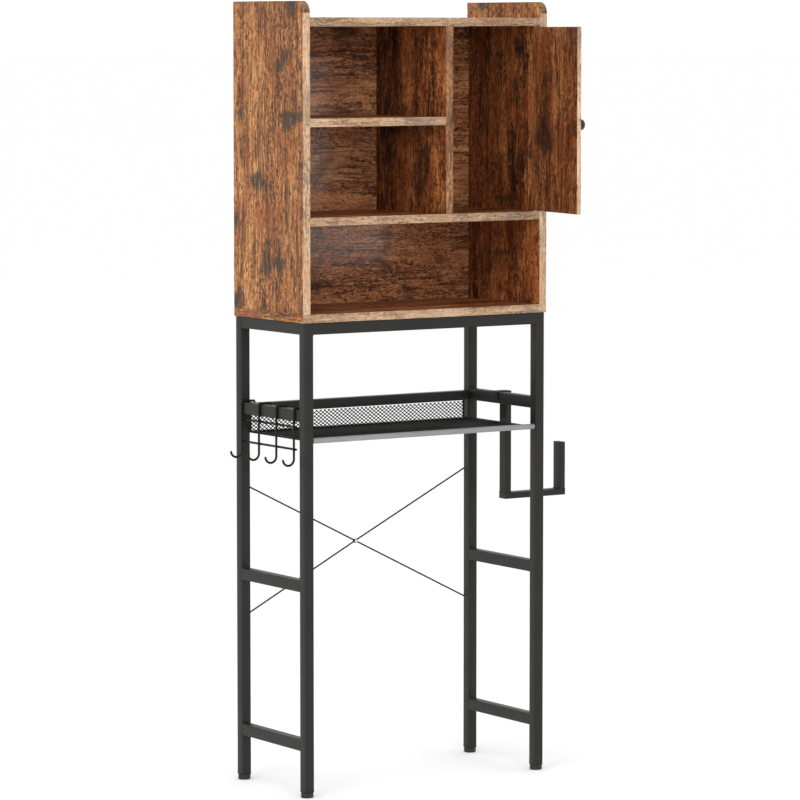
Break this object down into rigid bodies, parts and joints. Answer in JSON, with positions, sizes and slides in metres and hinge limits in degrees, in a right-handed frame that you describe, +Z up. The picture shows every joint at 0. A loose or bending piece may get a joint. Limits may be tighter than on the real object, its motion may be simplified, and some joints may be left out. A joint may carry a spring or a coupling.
{
  "type": "over the toilet storage rack",
  "caption": "Tall over-the-toilet rack: wood-look cabinet with bays and an inset door on a black tube frame with a mesh tray, hook rack and paper holder.",
  "frame": {"origin": "bottom centre of the bounding box of the whole rack with its door open, its hook rack and its paper holder on; on the floor", "axes": "+Z up, the open front faces -Y, +X to the right as seen from the front; the hook rack is at -X and the paper holder at +X"},
  "size_m": [0.8176, 0.502, 1.696],
  "materials": {
    "rustic_board": "rustic brown wood-grain laminate on particle board, satin, with paler edge banding",
    "back_board": "thin fibreboard back with fine brown grain, satin",
    "black_powder_coat": "fine matt black powder coat on steel",
    "black_plastic": "moulded black plastic, satin",
    "grey_bar": "satin grey coated steel bar",
    "zinc_steel": "zinc-plated screws and pins"
  },
  "bodies": {
    "rack": {"left_side_panel": "rustic_board", "right_side_panel": "rustic_board", "top_board": "rustic_board", "bottom_board": "rustic_board", "lower_shelf": "rustic_board", "middle_shelf": "rustic_board", "divider_panel": "rustic_board", "back_panel": "back_board", "upper_pivot_pin": "zinc_steel", "lower_pivot_pin": "zinc_steel", "lower_pivot_washer": "zinc_steel", "door_stop": "black_plastic", "front_left_leg": "black_powder_coat", "front_right_leg": "black_powder_coat", "rear_left_leg": "black_powder_coat", "rear_right_leg": "black_powder_coat", "front_left_leg_plug": "black_plastic", "front_right_leg_plug": "black_plastic", "rear_left_leg_plug": "black_plastic", "rear_right_leg_plug": "black_plastic", "left_lower_rail": "black_powder_coat", "left_middle_rail": "black_powder_coat", "left_tray_rail": "black_powder_coat", "left_top_rail": "black_powder_coat", "right_lower_rail": "black_powder_coat", "right_middle_rail": "black_powder_coat", "right_tray_rail": "black_powder_coat", "right_top_rail": "black_powder_coat", "front_top_rail": "black_powder_coat", "rear_top_rail": "black_powder_coat", "rear_tray_rail": "black_powder_coat", "cabinet_bolt_1": "zinc_steel", "cabinet_bolt_2": "zinc_steel", "cabinet_bolt_3": "zinc_steel", "cabinet_bolt_4": "zinc_steel", "falling_brace_rod": "black_powder_coat", "rising_brace_rod": "black_powder_coat", "brace_rivet": "zinc_steel", "tray_front_bar": "grey_bar", "tray_floor_mesh": "black_powder_coat", "tray_back_mesh": "black_powder_coat", "tray_left_wire": "black_powder_coat", "tray_right_wire": "black_powder_coat"},
    "door": {"door_panel": "rustic_board", "door_knob": "black_plastic", "knob_screw": "zinc_steel"},
    "hook_rack": {"hook_wire_1": "black_powder_coat", "hook_wire_2": "black_powder_coat", "hook_wire_3": "black_powder_coat", "hook_wire_4": "black_powder_coat", "hook_cross_wire_1": "black_powder_coat", "hook_cross_wire_2": "black_powder_coat"},
    "paper_holder": {"holder_drop": "black_powder_coat", "holder_arm": "black_powder_coat", "holder_post": "black_powder_coat", "holder_hook_plate": "black_powder_coat"},
    "front_left_foot": {"front_left_foot": "black_plastic"},
    "front_right_foot": {"front_right_foot": "black_plastic"},
    "rear_left_foot": {"rear_left_foot": "black_plastic"},
    "rear_right_foot": {"rear_right_foot": "black_plastic"}
  },
  "joints": [
    {"name": "door_hinge", "type": "hinge", "parent": "rack", "child": "door", "pos_m": [0.22283, -0.03487, 1.44175], "axis": [0, 0, 1], "range_deg": [-80, 30]},
    {"name": "hook_rack_lift", "type": "slide", "parent": "rack", "child": "hook_rack", "axis": [0, 0, 1], "range_m": [0, 0.009]},
    {"name": "paper_holder_lift", "type": "slide", "parent": "rack", "child": "paper_holder", "axis": [0, 0, 1], "range_m": [0, 0.03]},
    {"name": "front_left_foot_screw", "type": "slide", "parent": "rack", "child": "front_left_foot", "axis": [0, 0, 1], "range_m": [-0.008, 0]},
    {"name": "front_right_foot_screw", "type": "slide", "parent": "rack", "child": "front_right_foot", "axis": [0, 0, 1], "range_m": [-0.008, 0]},
    {"name": "rear_left_foot_screw", "type": "slide", "parent": "rack", "child": "rear_left_foot", "axis": [0, 0, 1], "range_m": [-0.008, 0]},
    {"name": "rear_right_foot_screw", "type": "slide", "parent": "rack", "child": "rear_right_foot", "axis": [0, 0, 1], "range_m": [-0.008, 0]}
  ]
}
